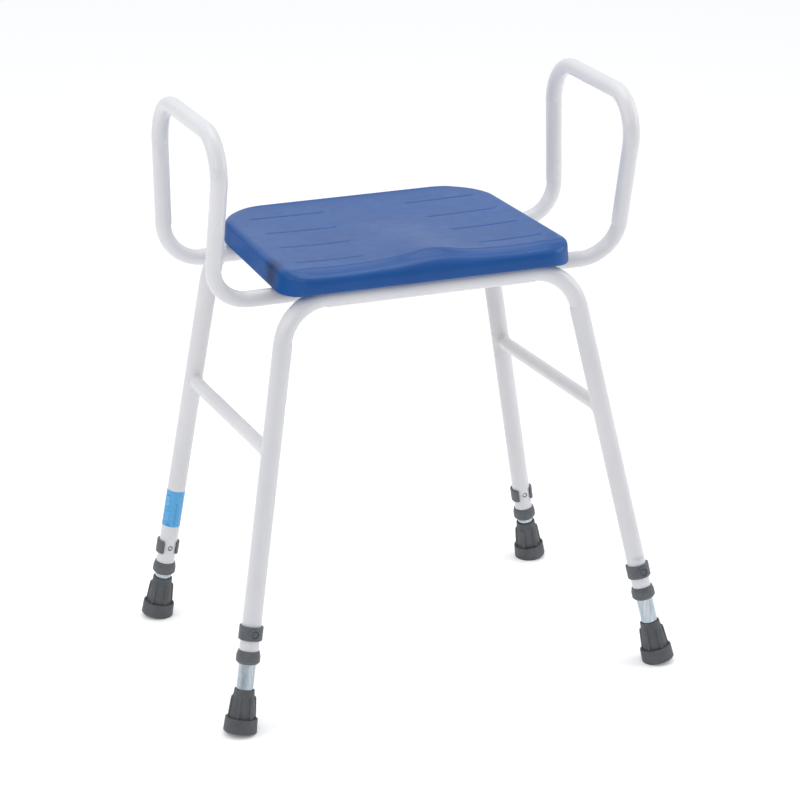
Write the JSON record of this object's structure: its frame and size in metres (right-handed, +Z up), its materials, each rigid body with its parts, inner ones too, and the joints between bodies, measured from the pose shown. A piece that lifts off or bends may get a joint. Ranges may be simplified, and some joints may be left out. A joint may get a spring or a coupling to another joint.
{
  "type": "perching shower stool",
  "caption": "Free-standing perching shower stool: a bent-tube frame with two arm loops, a moulded seat and pinned telescopic legs on rubber ferrules.",
  "frame": {"origin": "on the floor, midway between the four feet", "axes": "+X to the stool's width, +Y to the back (the front faces -Y), +Z up"},
  "size_m": [0.6522, 0.4478, 0.7866],
  "materials": {
    "white_powder_coat": "smooth gloss powder coat on steel tube",
    "blue_seat_skin": "self-skinned polyurethane foam, fine satin texture",
    "plywood": "plain birch plywood",
    "zinc_steel": "bright zinc plate",
    "zinc_tube": "bright zinc plate on steel tube",
    "grey_rubber": "matt grey rubber",
    "grey_nylon": "matt grey nylon",
    "label_film": "pale blue film, no lettering"
  },
  "bodies": {
    "frame": {"front_leg_frame": "white_powder_coat", "rear_leg_frame": "white_powder_coat", "side_strut_left": "white_powder_coat", "side_strut_right": "white_powder_coat", "arm_left": "white_powder_coat", "arm_right": "white_powder_coat", "seat_rail_left": "white_powder_coat", "seat_rail_right": "white_powder_coat", "seat_board": "plywood", "seat_pad": "blue_seat_skin", "seat_inserts": "zinc_steel", "seat_washers": "zinc_steel", "seat_bolts": "zinc_steel", "leg_collar_front_left": "grey_nylon", "leg_collar_front_right": "grey_nylon", "leg_collar_rear_left": "grey_nylon", "leg_collar_rear_right": "grey_nylon", "rating_label": "label_film"},
    "leg_front_left": {"leg_extension_front_left": "zinc_tube", "ferrule_disc_front_left": "zinc_steel", "ferrule_front_left": "grey_rubber"},
    "pin_clip_front_left": {"clip_front_left": "grey_nylon", "clip_pin_front_left": "zinc_steel"},
    "leg_front_right": {"leg_extension_front_right": "zinc_tube", "ferrule_disc_front_right": "zinc_steel", "ferrule_front_right": "grey_rubber"},
    "pin_clip_front_right": {"clip_front_right": "grey_nylon", "clip_pin_front_right": "zinc_steel"},
    "leg_rear_left": {"leg_extension_rear_left": "zinc_tube", "ferrule_disc_rear_left": "zinc_steel", "ferrule_rear_left": "grey_rubber"},
    "pin_clip_rear_left": {"clip_rear_left": "grey_nylon", "clip_pin_rear_left": "zinc_steel"},
    "leg_rear_right": {"leg_extension_rear_right": "zinc_tube", "ferrule_disc_rear_right": "zinc_steel", "ferrule_rear_right": "grey_rubber"},
    "pin_clip_rear_right": {"clip_rear_right": "grey_nylon", "clip_pin_rear_right": "zinc_steel"}
  },
  "joints": [
    {"name": "leg_slide_front_left", "type": "slide", "parent": "frame", "child": "leg_front_left", "axis": [-0.1848, -0.1546, -0.9705], "range_m": [-0.028, 0.14]},
    {"name": "leg_slide_front_right", "type": "slide", "parent": "frame", "child": "leg_front_right", "axis": [0.1848, -0.1546, -0.9705], "range_m": [-0.028, 0.14]},
    {"name": "leg_slide_rear_left", "type": "slide", "parent": "frame", "child": "leg_rear_left", "axis": [-0.1642, 0.0387, -0.9857], "range_m": [0, 0.168]},
    {"name": "leg_slide_rear_right", "type": "slide", "parent": "frame", "child": "leg_rear_right", "axis": [0.1642, 0.0387, -0.9857], "range_m": [0, 0.168]},
    {"name": "pin_clip_pull_front_left", "type": "slide", "parent": "frame", "child": "pin_clip_front_left", "axis": [0, -0.9876, 0.1573], "range_m": [0, 0.04], "deforming": ["clip_front_left"]},
    {"name": "pin_clip_pull_front_right", "type": "slide", "parent": "frame", "child": "pin_clip_front_right", "axis": [0, -0.9876, 0.1573], "range_m": [0, 0.04], "deforming": ["clip_front_right"]},
    {"name": "pin_clip_pull_rear_left", "type": "slide", "parent": "frame", "child": "pin_clip_rear_left", "axis": [0, 0.9992, 0.0393], "range_m": [0, 0.04], "deforming": ["clip_rear_left"]},
    {"name": "pin_clip_pull_rear_right", "type": "slide", "parent": "frame", "child": "pin_clip_rear_right", "axis": [0, 0.9992, 0.0393], "range_m": [0, 0.04], "deforming": ["clip_rear_right"]}
  ]
}
